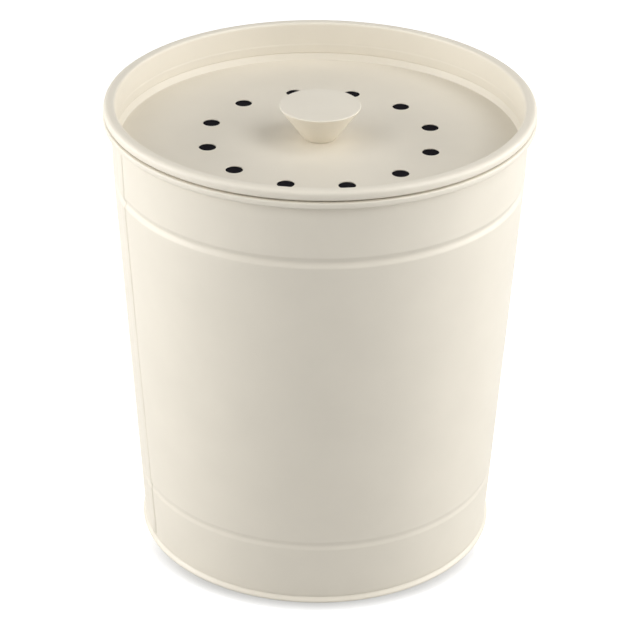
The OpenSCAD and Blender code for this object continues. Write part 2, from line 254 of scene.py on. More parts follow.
def join_rings(mesh, lower, upper):
    """Faces between two closed rings of vertices; a ring of one vertex is a pole."""
    count = max(len(lower), len(upper))
    for i in range(count):
        k = (i + 1) % count
        corners = [lower[0]] if len(lower) == 1 else [lower[i], lower[k]]
        corners += [upper[0]] if len(upper) == 1 else [upper[k], upper[i]]
        if len(corners) > 2:
            mesh.faces.new(corners)


def turned(mesh, outline, angles=None, shape=None, closed=True):
    """Turns an outline of (radius, z) about Z. shape(angle, r, z) may move a point to a new (r, z)."""
    angles = angles or even_angles()
    rings = []
    for r, z in outline:
        if r < 1e-6:
            rings.append([mesh.verts.new((0, 0, z * MM))])
            continue
        places = [shape(a, r, z) if shape else (r, z) for a in angles]
        rings.append([mesh.verts.new((pr * cos(radians(a)) * MM, pr * sin(radians(a)) * MM, pz * MM))
                      for a, (pr, pz) in zip(angles, places)])
    for lower, upper in zip(rings, rings[1:] + (rings[:1] if closed else [])):
        join_rings(mesh, lower, upper)
    return rings


def cut_edge(mesh, loop, z_low, z_high, edge):
    """The wall of a hole round a loop of (x, y), running anticlockwise, with rounded lips.

    Returns the flat rings that the plate's lower and upper faces join."""
    count = len(loop)
    outward = []
    for i in range(count):
        along = Vector(loop[(i + 1) % count]) - Vector(loop[i - 1])
        outward.append(Vector((along.y, -along.x)).normalized())
    turns = [radians(15 * k) for k in range(7)]
    lip = [(edge * 1.8, z_low)] + [(edge * (1 - sin(t)), z_low + edge * (1 - cos(t))) for t in turns]
    lip += [(offset, z_low + z_high - z) for offset, z in reversed(lip)]
    rings = [[mesh.verts.new(((x + n.x * offset) * MM, (y + n.y * offset) * MM, z * MM))
              for (x, y), n in zip(loop, outward)] for offset, z in lip]
    for lower, upper in zip(rings, rings[1:]):
        join_rings(mesh, lower, upper)
    return rings[0], rings[-1]


def fill_face(mesh, rings):
    """A flat face between an outer ring and the rings of the holes in it."""
    edges = []
    for ring in rings:
        for i, vert in enumerate(ring):
            after = ring[(i + 1) % len(ring)]
            edges.append(mesh.edges.get((vert, after)) or mesh.edges.new((vert, after)))
    bmesh.ops.triangle_fill(mesh, edges=edges, use_beauty=True)


def from_nearest(angle, count):
    """Angle from the nearest of count evenly spaced directions, in degrees."""
    half = 180 / count
    return (angle + half) % (2 * half) - half


def circle_loop(cx, cy, r, count=48):
    return [(cx + r * cos(radians(a)), cy + r * sin(radians(a))) for a in even_angles(count)]


def slot_loop(r0, r1, width, angle):
    """A slot with round ends along a radius, running anticlockwise."""
    flat = arc(r1, 0, width / 2, -90, 90, 12) + arc(r0, 0, width / 2, 90, 270, 12)
    c, s = cos(radians(angle)), sin(radians(angle))
    return [(x * c - y * s, x * s + y * c) for x, y in flat]


def piece(name, mesh, body, material, replaced):
    """Turns a bmesh into a smooth-shaded object that rides on a body and stands for CAD nodes."""
    bmesh.ops.recalc_face_normals(mesh, faces=mesh.faces)
    data = bpy.data.meshes.new(name)
    mesh.to_mesh(data)
    mesh.free()
    data.shade_smooth()
    data.materials.append(material)
    obj = bpy.data.objects.new(name, data)
    bpy.context.scene.collection.objects.link(obj)
    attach(obj, body)
    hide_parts(*replaced)
    return obj


# ---------------------------------------------------------------- materials
class Nodes:
    """A material's node tree with a Principled shader, in the object's own coordinates."""

    def __init__(self, name):
        self.material = bpy.data.materials.new(name)
        self.material.use_nodes = True
        self.tree = self.material.node_tree
        self.shader = self.tree.nodes["Principled BSDF"]
        self.place = self.add("ShaderNodeTexCoord").outputs["Object"]

    def add(self, kind):
        return self.tree.nodes.new(kind)

    def link(self, source, target):
        self.tree.links.new(source, target)

    def set(self, **values):
        """Sets the shader's own sockets: Specular_IOR_Level stands for Specular IOR Level."""
        for key, value in values.items():
            self.shader.inputs[key.replace("_", " ")].default_value = value

    def noise(self, size_mm, detail=2.0, roughness=0.5, stretch=None):
        """Noise with features of about size_mm, from 0 to 1."""
        place = self.place
        if stretch:
            mapping = self.add("ShaderNodeMapping")
            mapping.inputs["Scale"].default_value = stretch
            self.link(place, mapping.inputs["Vector"])
            place = mapping.outputs["Vector"]
        node = self.add("ShaderNodeTexNoise")
        node.inputs["Scale"].default_value = 1 / (size_mm * MM)
        node.inputs["Detail"].default_value = detail
        node.inputs["Roughness"].default_value = roughness
        self.link(place, node.inputs["Vector"])
        return node.outputs["Fac"]

    def spread(self, value, low, high, source_low=0.3, source_high=0.7):
        """Maps a 0 to 1 texture onto a range of numbers."""
        node = self.add("ShaderNodeMapRange")
        for key, number in (("From Min", source_low), ("From Max", source_high),
                            ("To Min", low), ("To Max", high)):
            node.inputs[key].default_value = number
        self.link(value, node.inputs["Value"])
        return node.outputs["Result"]

    def blend(self, factor, first, second):
        """Colour between two colours by a 0 to 1 factor."""
        node = self.add("ShaderNodeMix")
        node.data_type = "RGBA"
        node.inputs[6].default_value = first
        node.inputs[7].default_value = second
        self.link(factor, node.inputs[0])
        return node.outputs[2]

    def bump(self, height, depth_mm, strength, under=None):
        """Normal of a height texture, laid over another bump where one is given."""
        node = self.add("ShaderNodeBump")
        node.inputs["Strength"].default_value = strength
        node.inputs["Distance"].default_value = depth_mm * MM
        self.link(height, node.inputs["Height"])
        if under:
            self.link(under, node.inputs["Normal"])
        return node.outputs["Normal"]

    def to(self, socket, source):
        """Leads a texture into a socket of the shader."""
        self.link(source, self.shader.inputs[socket])


def tint(colour, share):
    return tuple(min(c * share, 1.0) for c in colour[:3]) + (1.0,)


def powder_coat(name, colour):
    """Satin powder-coated steel: a faint orange peel and the slightest mottle in colour."""
    n = Nodes(name)
    n.set(IOR=1.5, Specular_IOR_Level=0.5)
    n.to("Base Color", n.blend(n.spread(n.noise(26, 3), 0, 1), tint(colour, 0.985), tint(colour, 1.015)))
    n.to("Roughness", n.spread(n.noise(9, 2), 0.40, 0.47))
    waves = n.bump(n.noise(5.5, 1), 0.03, 0.35)
    n.to("Normal", n.bump(n.noise(1.3, 2), 0.012, 0.4, waves))
    return n.material


def zinc_plate():
    """Zinc-plated steel: grey metal with a passivated tint and fine rolling marks."""
    n = Nodes("zinc_plated_steel")
    n.set(Metallic=1.0)
    n.to("Base Color", n.blend(n.spread(n.noise(2.5, 3), 0, 1),
                               (0.56, 0.57, 0.60, 1), (0.68, 0.67, 0.62, 1)))
    n.to("Roughness", n.spread(n.noise(0.7, 4), 0.26, 0.42))
    n.to("Normal", n.bump(n.noise(0.25, 2), 0.008, 0.5))
    return n.material


def carbon_felt():
    """Needled fibre pad loaded with activated carbon: black, matt and slightly hairy."""
    n = Nodes("carbon_felt")
    n.set(Specular_IOR_Level=0.02)
    fibres = n.noise(0.9, 6, 0.75, (1.0, 1.0, 2.5))
    lumps = n.noise(4.0, 3)
    n.to("Base Color", n.blend(n.spread(fibres, 0, 1, 0.35, 0.75),
                               (0.006, 0.0055, 0.007, 1), (0.024, 0.022, 0.026, 1)))
    n.to("Roughness", n.spread(fibres, 0.85, 1.0))
    n.to("Normal", n.bump(fibres, 0.35, 0.8, n.bump(lumps, 0.8, 0.5)))
    return n.material


def moulded_plastic(name, colour, roughness=0.42, grain_mm=0.45):
    """Injection-moulded polypropylene: fine spark-eroded grain and a soft, waxy sheen."""
    n = Nodes(name)
    n.set(IOR=1.49)
    n.to("Base Color", n.blend(n.spread(n.noise(18, 3), 0, 1), tint(colour, 0.96), tint(colour, 1.04)))
    n.to("Roughness", n.spread(n.noise(3.0, 3), roughness - 0.05, roughness + 0.07))
    flow = n.bump(n.noise(11, 1), 0.05, 0.3)
    n.to("Normal", n.bump(n.noise(grain_mm, 3), 0.014, 0.6, flow))
    return n.material


# ---------------------------------------------------------------- canister
def wall_line(z):
    """Outer radius of the plain wall at height z."""
    upper_r = MOUTH_R + SHEET - BAND_TAPER
    if z < WALL_STRAIGHT_TOP:
        return FOOT_WALL_R
    if z < UPPER_GROOVE_Z:
        share = (z - WALL_STRAIGHT_TOP) / (UPPER_GROOVE_Z - WALL_STRAIGHT_TOP)
        return FOOT_WALL_R + (upper_r - FOOT_WALL_R) * share
    return upper_r + BAND_TAPER * (z - UPPER_GROOVE_Z) / (CANISTER_H - CURL_H / 2 - UPPER_GROOVE_Z)


def wall_r(z):
    """Outer radius of the wall with its two pressed grooves."""
    r = wall_line(z)
    for middle, width, depth in GROOVES:
        if abs(z - middle) < width / 2:
            r -= depth * (1 + cos(2 * pi * (z - middle) / width)) / 2
    return r


def flat_arc(cx, cz, rx, rz, start, end, steps, shape):
    """Points round a flattened roll, rx wide and rz high from its middle."""
    points = []
    for x, z in arc(0, 0, 1, start, end, steps):
        flat = shape[2] if z < 0 else shape[x < 0]
        points.append((cx + copysign(rx * abs(x) ** flat, x), cz + copysign(rz * abs(z) ** flat, z)))
    return points


def rolled_edge(cx, cz, width, height, shape):
    """A sheet's edge rolled outwards: up its inner face, round, and back to its outer face."""
    rx, rz, end = width / 2, height / 2, -115
    return (flat_arc(cx, cz, rx, rz, 180, end, 59, shape)
            + flat_arc(cx, cz, rx - SHEET, rz - SHEET, end, 180, 40, shape))


def seam_middle(z):
    """Angle of the lap seam's middle at height z: it leans a little over its lower part."""
    return SEAM_ANGLE - SEAM_SHIFT + SEAM_LEAN * max(0.0, SEAM_LEAN_TOP_Z - z)


def seam_rise(angle, z):
    """How far the lapped sheet stands out of the wall: one sharp edge, the other faded.

    The crease beside the sharp edge is deep near the foot, shallow above it and clearer again
    in the upper part.
    """
    across = (angle - seam_middle(z)) * pi / 180 * FOOT_WALL_R
    sharp = (SEAM_W / 2 - across) / SEAM_SHARP_W + 0.5
    faded = (across + SEAM_W / 2) / SEAM_FADED_W
    foot = clamp((CREASE_FOOT_TOP_Z - z) / CREASE_FOOT_FADE)
    upper = clamp((z - CREASE_UPPER_LOW_Z) / CREASE_UPPER_FADE)
    depth = CREASE_DEPTH + CREASE_FOOT_DEPTH * foot + CREASE_UPPER_DEPTH * upper
    half_w = CREASE_HALF_W + CREASE_FOOT_EXTRA_W * foot
    crease = max(0.0, 1 - abs(across - SEAM_W / 2 - half_w - CREASE_OFF) / half_w)
    return SEAM_RISE * clamp(min(sharp, faded)) - depth * crease


def canister_shell(paint):
    """Wall with its rolled rim, its two pressed grooves and the lap seam."""
    # Rings close enough together to carry the seam's lean and its crease near the foot
    heights = [SHEET, WALL_STRAIGHT_TOP, WALL_STRAIGHT_TOP + 0.3, 12, 20, 26]
    for middle, width, _ in GROOVES:
        heights += [middle + width * (i / 28 - 0.5) for i in range(29)]
        heights += [middle - width * 0.55, middle + width * 0.55]
    heights += [60 + 20 * i for i in range(7)] + [CANISTER_H - CURL_H - 6, CANISTER_H - CURL_H - 3]
    outer = [(wall_r(z), z) for z in sorted(heights)]
    inner = [(r - SHEET, z) for r, z in outer]
    curl = rolled_edge(MOUTH_R + CURL_W / 2, CANISTER_H - CURL_H / 2, CURL_W, CURL_H, CURL_SHAPE)

    seam_low, seam_high = WALL_STRAIGHT_TOP + 0.2, CANISTER_H - CURL_H - 0.4

    def with_seam(angle, r, z):
        outside = r > wall_r(z) - SHEET / 2 and seam_low < z < seam_high
        return (r + seam_rise(angle, z) if outside else r), z

    seam_half = SEAM_W / 2 / FOOT_WALL_R * 180 / pi
    fine_step, fine_steps = 0.07, range(-18, 19)
    fine = [SEAM_ANGLE + side * seam_half + fine_step * i for side in (-1, 1) for i in fine_steps]
    mesh = bmesh.new()
    turned(mesh, inner + curl + outer[::-1], sorted(set(even_angles() + fine)), with_seam)
    return piece("canister_shell", mesh, "canister", paint,
                 ("canister_wall", "side_seam"))


def canister_floor(paint):
    """Bottom disc with a pressed centre, locked round the wall's lower edge."""
    slope = 2 * FLOOR_PRESS_DEPTH
    inner_r = FOOT_WALL_R - SHEET
    floor_low = FLOOR_TOP - SHEET
    steps = [i / 20 for i in range(21)]
    flare = [(SEAM_OUTER_R - (SEAM_OUTER_R - FOOT_WALL_R) * smooth_step(t),
              FOOT_FACE_H + (FOOT_SEAM_H - FOOT_FACE_H) * t) for t in steps]
    outline = soften([(inner_r - SHEET, 0, 0.4), (SEAM_OUTER_R, 0, 0.15)] + flare + [
        (FOOT_WALL_R, SHEET), (inner_r, SHEET),
        (inner_r, FLOOR_TOP, 0.5), (FLOOR_PRESS_R + slope, FLOOR_TOP, 1.2),
        (FLOOR_PRESS_R, FLOOR_TOP - FLOOR_PRESS_DEPTH, 1.2), (0, FLOOR_TOP - FLOOR_PRESS_DEPTH),
        (0, floor_low - FLOOR_PRESS_DEPTH), (FLOOR_PRESS_R, floor_low - FLOOR_PRESS_DEPTH, 1.2),
        (FLOOR_PRESS_R + slope, floor_low, 1.2), (inner_r - SHEET, floor_low, 0.5)])
    mesh = bmesh.new()
    turned(mesh, outline)
    return piece("canister_floor", mesh, "canister", paint, ("canister_base",))


# ---------------------------------------------------------------- lid
def lid_shell(paint):
    """Dished lid: flat vented panel, upright wall with a ledge, and a rolled bead on the rim."""
    bead_z = CANISTER_H + LID_GAP + BEAD_H / 2
    field_r = PANEL_R - 3
    low, ledge = PANEL_Z + LEDGE_FOOT_UP, PANEL_Z + LEDGE_UP
    rise_r, rise_z = PANEL_R + PANEL_RISE_W, PANEL_Z + PANEL_RISE_H
    bead_foot_z = bead_z - 0.2
    face = soften([
        (field_r, PANEL_Z), (PANEL_R, PANEL_Z, 0.5), (rise_r, rise_z, 0.12),
        (LEDGE_R, low, 0.25), (LEDGE_R, ledge, 0.6), (LEDGE_R + LEDGE_W, ledge + 0.8, 0.6),
        (LID_WALL_R, bead_foot_z)], closed=False)
    back = soften([
        (LID_WALL_R + SHEET, bead_foot_z), (LEDGE_R + LEDGE_W + SHEET, ledge + 0.8, 0.6),
        (LEDGE_R + SHEET, ledge, 0.6), (LEDGE_R + SHEET, low, 0.25),
        (rise_r + SHEET, rise_z, 0.2), (PANEL_R + SHEET, PANEL_UNDER, 0.7),
        (field_r, PANEL_UNDER)], closed=False)
    bead = rolled_edge(LID_WALL_R + BEAD_W / 2, bead_z, BEAD_W, BEAD_H, BEAD_SHAPE)
    mesh = bmesh.new()
    rings = turned(mesh, face + bead + back, closed=False)
    holes = [circle_loop(0, 0, HOLE_R)]
    for i in range(VENTS):
        turn = radians(VENT_START + i * 360 / VENTS)
        holes.append(circle_loop(VENT_CIRCLE_R * cos(turn), VENT_CIRCLE_R * sin(turn), VENT_R))
    lips = [cut_edge(mesh, loop, PANEL_UNDER, PANEL_Z, 0.2) for loop in holes]
    fill_face(mesh, [rings[0]] + [upper for lower, upper in lips])
    fill_face(mesh, [rings[-1]] + [lower for lower, upper in lips])
    return piece("lid_shell", mesh, "lid", paint, ("lid_pan",))


def knob(paint):
    """Low knob flaring upwards from its foot to a flat top, with a blind bore for the stud."""
    bore_r, bore_top = STUD_R + THREAD_GAP, PANEL_Z + KNOB_BORE_H
    flare = degrees(atan2(KNOB_TOP_R - KNOB_FOOT_R, KNOB_TOP_Z - PANEL_Z))
    rim = arc(KNOB_TOP_R - KNOB_EDGE_R, KNOB_TOP_Z - KNOB_EDGE_R, KNOB_EDGE_R, -flare, 90, 12)
    outline = soften([
        (bore_r, PANEL_Z), (KNOB_FOOT_R - KNOB_FOOT_EDGE, PANEL_Z, 0.15),
        (KNOB_FOOT_R, PANEL_Z + KNOB_FOOT_EDGE, 0.5)] + rim + [
        (KNOB_TOP_R - 2, KNOB_TOP_Z), (0, KNOB_TOP_Z), (0, bore_top), (bore_r, bore_top)])
    mesh = bmesh.new()
    turned(mesh, outline, even_angles(180))
    return piece("knob", mesh, "lid", paint, ("lid_knob",))


# ---------------------------------------------------------------- fixings
def threaded_stud(metal):
    """Stud with a helical thread, chamfered at both ends."""
    root = STUD_R - THREAD_DEPTH
    steps = int((STUD_HIGH_Z - STUD_LOW_Z) / THREAD_PITCH * 8)
    heights = [STUD_LOW_Z + (STUD_HIGH_Z - STUD_LOW_Z) * i / steps for i in range(steps + 1)]

    def thread(angle, r, z):
        phase = (z / THREAD_PITCH - angle / 360) % 1
        ridge = min(1.0, max(0.0, 1.25 - abs(phase - 0.5) * 3.2))
        chamfer = min(z - STUD_LOW_Z, STUD_HIGH_Z - z) * 1.2 + root - 0.2
        return min(root + (STUD_R - root) * ridge, chamfer), z

    outline = [(0, STUD_LOW_Z)] + [(STUD_R, z) for z in heights] + [(0, STUD_HIGH_Z)]
    mesh = bmesh.new()
    turned(mesh, outline, even_angles(48), thread, closed=False)
    return piece("threaded_stud", mesh, "lid", metal, ("knob_stud",))


def flat_washer(metal):
    mesh = bmesh.new()
    turned(mesh, soften([(HOLE_R, WASHER_LOW_Z, 0.15), (WASHER_R, WASHER_LOW_Z, 0.35),
                         (WASHER_R, WASHER_HIGH_Z, 0.2), (HOLE_R, WASHER_HIGH_Z, 0.1)]),
           even_angles(120))
    return piece("flat_washer", mesh, "lid", metal, ("knob_washer",))


def spring_washer(metal):
    """Split ring whose two ends step past one another."""
    half_split = LOCK_SPLIT_W / 2 / LOCK_R * 180 / pi
    step = 0.12
    low, high = LOCK_LOW_Z + step, LOCK_HIGH_Z - step
    angles = [half_split + (360 - 2 * half_split) * i / 96 for i in range(97)]
    section = soften([(HOLE_R, low, 0.1), (LOCK_R, low, 0.1), (LOCK_R, high, 0.1), (HOLE_R, high, 0.1)])
    mesh = bmesh.new()
    rings = []
    for angle in angles:
        lift = step * (angle / 180 - 1)
        c, s = cos(radians(angle)), sin(radians(angle))
        rings.append([mesh.verts.new((r * c * MM, r * s * MM, (z + lift) * MM)) for r, z in section])
    for first, second in zip(rings, rings[1:]):
        join_rings(mesh, first, second)
    for end in (rings[0], rings[-1]):
        mesh.faces.new(end)
    return piece("spring_washer", mesh, "lid", metal, ("knob_lock_washer",))


def hex_nut(metal):
    """Hexagon nut with turned chamfers on its corners."""
    def hexagon(angle, r, z):
        across = NUT_FLAT_R / cos(radians(from_nearest(angle, 6)))
        corner = across - NUT_FLAT_R
        if r < NUT_FLAT_R - 0.01:
            return r, z
        middle = (NUT_LOW_Z + NUT_HIGH_Z) / 2
        if abs(z - middle) > (NUT_HIGH_Z - NUT_LOW_Z) / 2 - 0.01:
            return NUT_FLAT_R - 0.05, z
        side = 1 if z > middle else -1
        half = (NUT_HIGH_Z - NUT_LOW_Z) / 2 - 0.05 - corner * tan(radians(30))
        return across, middle + side * min(abs(z - middle), half)

    hole = STUD_R + THREAD_GAP
    outline = [(hole, NUT_LOW_Z + 0.3), (hole + 0.3, NUT_LOW_Z), (NUT_FLAT_R - 0.3, NUT_LOW_Z),
               (NUT_FLAT_R, NUT_LOW_Z), (NUT_FLAT_R, NUT_LOW_Z + 0.05), (NUT_FLAT_R, NUT_LOW_Z + 1),
               (NUT_FLAT_R, NUT_HIGH_Z - 1), (NUT_FLAT_R, NUT_HIGH_Z - 0.05), (NUT_FLAT_R, NUT_HIGH_Z),
               (NUT_FLAT_R - 0.3, NUT_HIGH_Z), (hole + 0.3, NUT_HIGH_Z), (hole, NUT_HIGH_Z - 0.3)]
    mesh = bmesh.new()
    turned(mesh, outline, even_angles(96), hexagon)
    nut = piece("hex_nut", mesh, "lid", metal, ("knob_nut",))
    nut.data.set_sharp_from_angle(angle=radians(25))
    return nut


# ---------------------------------------------------------------- odour filter
def filter_pad(felt):
    """Round felt pad with soft, slightly uneven edges."""
    edge_w = 4

    def uneven(angle, r, z):
        wobble = 0.35 * sin(radians(angle) * 7 + 1) + 0.25 * sin(radians(angle) * 17)
        if r > FILTER_R - edge_w:
            return min(r + wobble - 0.5, FILTER_R), z
        return r, z

    outline = soften([(FILTER_HOLE_R, FILTER_LOW_Z, 0.8), (FILTER_R, FILTER_LOW_Z, 1.8),
                      (FILTER_R, FILTER_HIGH_Z, 1.4), (FILTER_HOLE_R, FILTER_HIGH_Z, 0.8)])
    mesh = bmesh.new()
    turned(mesh, outline, even_angles(240), uneven)
    pad = piece("filter_pad", mesh, "filter_cover", felt, ("charcoal_filter",))
    return pad


def filter_grille(plastic):
    """Moulded cover: a slotted plate with a raised rim round the pad and a boss for its nut."""
    plain_w = 4
    inner_r0 = FILTER_HOLE_R + plain_w + SLOT_W / 2
    outer_r1 = COVER_INNER_R - plain_w - SLOT_W / 2
    mid_r = (inner_r0 + outer_r1) / 2 - 2
    plate_r, hub_r = COVER_INNER_R - 2, BOSS_R + 2
    mesh = bmesh.new()
    rim = turned(mesh, soften([
        (plate_r, FILTER_LOW_Z), (COVER_INNER_R, FILTER_LOW_Z, 0.5),
        (COVER_INNER_R, COVER_TOP_Z, 0.6), (COVER_R, COVER_TOP_Z, 0.6), (COVER_R, COVER_LOW_Z, 1.0),
        (plate_r, COVER_LOW_Z)], closed=False), even_angles(240), closed=False)
    boss = turned(mesh, soften([
        (hub_r, COVER_LOW_Z), (BOSS_R, COVER_LOW_Z, 0.4), (BOSS_R, BOSS_LOW_Z, 0.3),
        (HOLE_R, BOSS_LOW_Z, 0.2), (HOLE_R, FILTER_LOW_Z, 0.2), (hub_r, FILTER_LOW_Z)],
        closed=False), even_angles(96), closed=False)
    slots = [slot_loop(inner_r0, mid_r - SLOT_W, SLOT_W, i * 360 / INNER_SLOTS)
             for i in range(INNER_SLOTS)]
    slots += [slot_loop(mid_r + SLOT_W, outer_r1, SLOT_W, (i + 0.5) * 360 / OUTER_SLOTS)
              for i in range(OUTER_SLOTS)]
    lips = [cut_edge(mesh, loop, COVER_LOW_Z, FILTER_LOW_Z, 0.3) for loop in slots]
    fill_face(mesh, [rim[0], boss[-1]] + [upper for lower, upper in lips])
    fill_face(mesh, [rim[-1], boss[0]] + [lower for lower, upper in lips])
    return piece("filter_grille", mesh, "filter_cover", plastic, ("filter_cover",))


def lobed_nut(plastic):
    """Hand nut with six round lobes, standing on its lobed grip with a collar above."""
    lobe_r = THUMB_GRIP_R / 3
    grip_top = THUMB_LOW_Z + (THUMB_HIGH_Z - THUMB_LOW_Z) * 0.65

    def lobes(angle, r, z):
        if r < THUMB_COLLAR_R + 0.8:
            return r, z
        off = radians(from_nearest(angle, THUMB_LOBES))
        across = THUMB_GRIP_R * sin(off)
        reach = 0
        if abs(across) < lobe_r:
            reach = THUMB_GRIP_R * cos(off) + sqrt(lobe_r ** 2 - across ** 2)
        valley = THUMB_GRIP_R + THUMB_VALLEY_UP
        full = (reach + valley + sqrt((reach - valley) ** 2 + 0.6)) / 2
        return r * min(full, THUMB_GRIP_R + lobe_r) / (THUMB_GRIP_R + lobe_r), z

    grip_r = THUMB_GRIP_R + lobe_r
    hole = STUD_R + THREAD_GAP
    outline = soften([
        (hole, THUMB_LOW_Z, 0.25), (grip_r, THUMB_LOW_Z, 1.0), (grip_r, grip_top, 0.8),
        (THUMB_COLLAR_R, grip_top, 0.5), (THUMB_COLLAR_R, THUMB_HIGH_Z, 0.4),
        (hole, THUMB_HIGH_Z, 0.25)])
    mesh = bmesh.new()
    turned(mesh, outline, even_angles(240), lobes)
    return piece("lobed_nut", mesh, "thumb_nut", plastic, ("thumb_nut",))


# ---------------------------------------------------------------- liner
def upright_plate(mesh, outline, holes, x_low, x_high, edge):
    """A rounded plate standing across X, from outlines in (y, z)."""
    first = len(mesh.verts)
    lips = [cut_edge(mesh, loop, x_low, x_high, edge) for loop in holes]
    rim = cut_edge(mesh, outline[::-1], x_low, x_high, edge)
    for side in (0, 1):
        fill_face(mesh, [rim[side]] + [pair[side] for pair in lips])
    mesh.verts.ensure_lookup_table()
    for vert in mesh.verts[first:]:
        y, z, x = vert.co
        vert.co = Vector((x, y, z))


def liner(plastic):
    """Lift-out bucket with a turned-down rim and an ear at each side for the handle."""
    skirt_z = LINER_RIM_Z - LINER_SKIRT_H
    rim_under = LINER_RIM_Z - LINER_T
    foot_r = LINER_FLOOR_R - LINER_CORNER_R
    foot_in_r = foot_r - LINER_T
    corner_c = (foot_r, LINER_FLOOR_Z + LINER_CORNER_R)
    outer_corner = arc(*corner_c, LINER_CORNER_R, -86, -4, 14)
    inner_corner = arc(*corner_c, LINER_CORNER_R - LINER_T, -4, -86, 14)
    outline = soften([
        (0, LINER_FLOOR_Z), (foot_in_r, LINER_FLOOR_Z, 0.3), (foot_in_r, LINER_FOOT_Z, 0.5),
        (foot_r, LINER_FOOT_Z, 0.5), (foot_r, LINER_FLOOR_Z)] + outer_corner + [
        (LINER_WALL_R, rim_under, 0.6), (LINER_RIM_R - LINER_T, rim_under, 0.4),
        (LINER_RIM_R - LINER_T, skirt_z, 0.5), (LINER_RIM_R, skirt_z, 0.6),
        (LINER_RIM_R, LINER_RIM_Z, 1.2), (LINER_WALL_R - LINER_T, LINER_RIM_Z, 1.2)]
        + inner_corner + [(0, LINER_FLOOR_Z + LINER_T)])
    mesh = bmesh.new()
    turned(mesh, outline)
    ear_low, pad_top = LINER_RIM_Z - EAR_PAD_H, LINER_RIM_Z - 1
    ear = soften([(-EAR_R, ear_low, 0.8), (EAR_R, ear_low, 0.8)] + arc(0, PIVOT_Z, EAR_R, 0, 180, 24))
    pad = soften([(-EAR_R, ear_low, 0.8), (EAR_R, ear_low, 0.8),
                  (EAR_R, pad_top, 0.8), (-EAR_R, pad_top, 0.8)])
    hole = circle_loop(0, PIVOT_Z, PIN_R + PIN_GAP)
    ear_in_x, pad_out_x = EAR_OUT_X - EAR_T, LINER_WALL_R - LINER_T / 2 - 0.2
    for side in (-1, 1):
        ends = sorted((side * ear_in_x, side * EAR_OUT_X))
        upright_plate(mesh, ear, [hole], *ends, EAR_EDGE)
        ends = sorted((side * ear_in_x, side * pad_out_x))
        upright_plate(mesh, pad, [], *ends, EAR_EDGE)
    return piece("liner", mesh, "liner", plastic, ("liner_bucket",))


def handle(plastic):
    """Half-ring handle with a boss and a headed pin at each end."""
    mesh = bmesh.new()
    steps, boss_turn, boss_fade = 120, 4.16, 2.6
    rings = []
    for i in range(steps + 1):
        angle = 180 * i / steps
        near = min(angle, 180 - angle)
        swell = smooth_step(clamp((boss_turn - near) / boss_fade))
        radius = ROD_R + (BOSS_END_R - ROD_R) * swell
        c, s = cos(radians(angle)), sin(radians(angle))
        circle = [(BAIL_R + dx, PIVOT_Z + dz) for dx, dz in arc(0, 0, radius, 0, 345, 23)]
        rings.append([mesh.verts.new((r * c * MM, r * s * MM, z * MM)) for r, z in circle])
    for first, second in zip(rings, rings[1:]):
        join_rings(mesh, first, second)
    head_end_x = PIN_HEAD_X + PIN_HEAD_T
    boss_in_x, boss_out_x = BAIL_R - BOSS_END_R + 0.2, BAIL_R + BOSS_END_R
    section = soften([
        (0, PIN_HEAD_X), (PIN_HEAD_R, PIN_HEAD_X, 0.5), (PIN_HEAD_R, head_end_x, 0.2),
        (PIN_R, head_end_x, 0.1), (PIN_R, boss_in_x, 0.1), (BOSS_END_R, boss_in_x, 0.5),
        (BOSS_END_R, boss_out_x, 0.8), (0, boss_out_x)], closed=False)
    for side in (-1, 1):
        first = len(mesh.verts)
        turned(mesh, section, even_angles(48), closed=False)
        mesh.verts.ensure_lookup_table()
        for vert in mesh.verts[first:]:
            x, y, z = vert.co
            vert.co = Vector((side * z, x, y + PIVOT_Z * MM))
    return piece("handle", mesh, "handle", plastic, ("liner_handle",))


# ---------------------------------------------------------------- studio
def ramp(tree, value, numbers):
    """Maps a value from (from low, from high) onto (to low, to high)."""
    node = tree.nodes.new("ShaderNodeMapRange")
    for socket, number in zip(("From Min", "From Max", "To Min", "To Max"), numbers):
        node.inputs[socket].default_value = number
    tree.links.new(value, node.inputs["Value"])
    return node.outputs["Result"]


def combined(tree, operation, first, second):
    """One socket of two values, by a maths node."""
    node = tree.nodes.new("ShaderNodeMath")
    node.operation = operation
    tree.links.new(first, node.inputs[0])
    tree.links.new(second, node.inputs[1])
    return node.outputs[0]


def seen_level(tree):
    """1 for what the camera sees, straight or through something, REFLECTED for reflections, else 0."""
    path = tree.nodes.new("ShaderNodeLightPath")
    level = path.outputs["Is Camera Ray"]
    for name, share in (("Is Transmission Ray", 1.0), ("Is Glossy Ray", REFLECTED)):
        scaled = tree.nodes.new("ShaderNodeMath")
        scaled.operation = "MULTIPLY"
        scaled.inputs[1].default_value = share
        tree.links.new(path.outputs[name], scaled.inputs[0])
        level = combined(tree, "MAXIMUM", level, scaled.outputs[0])
    return level


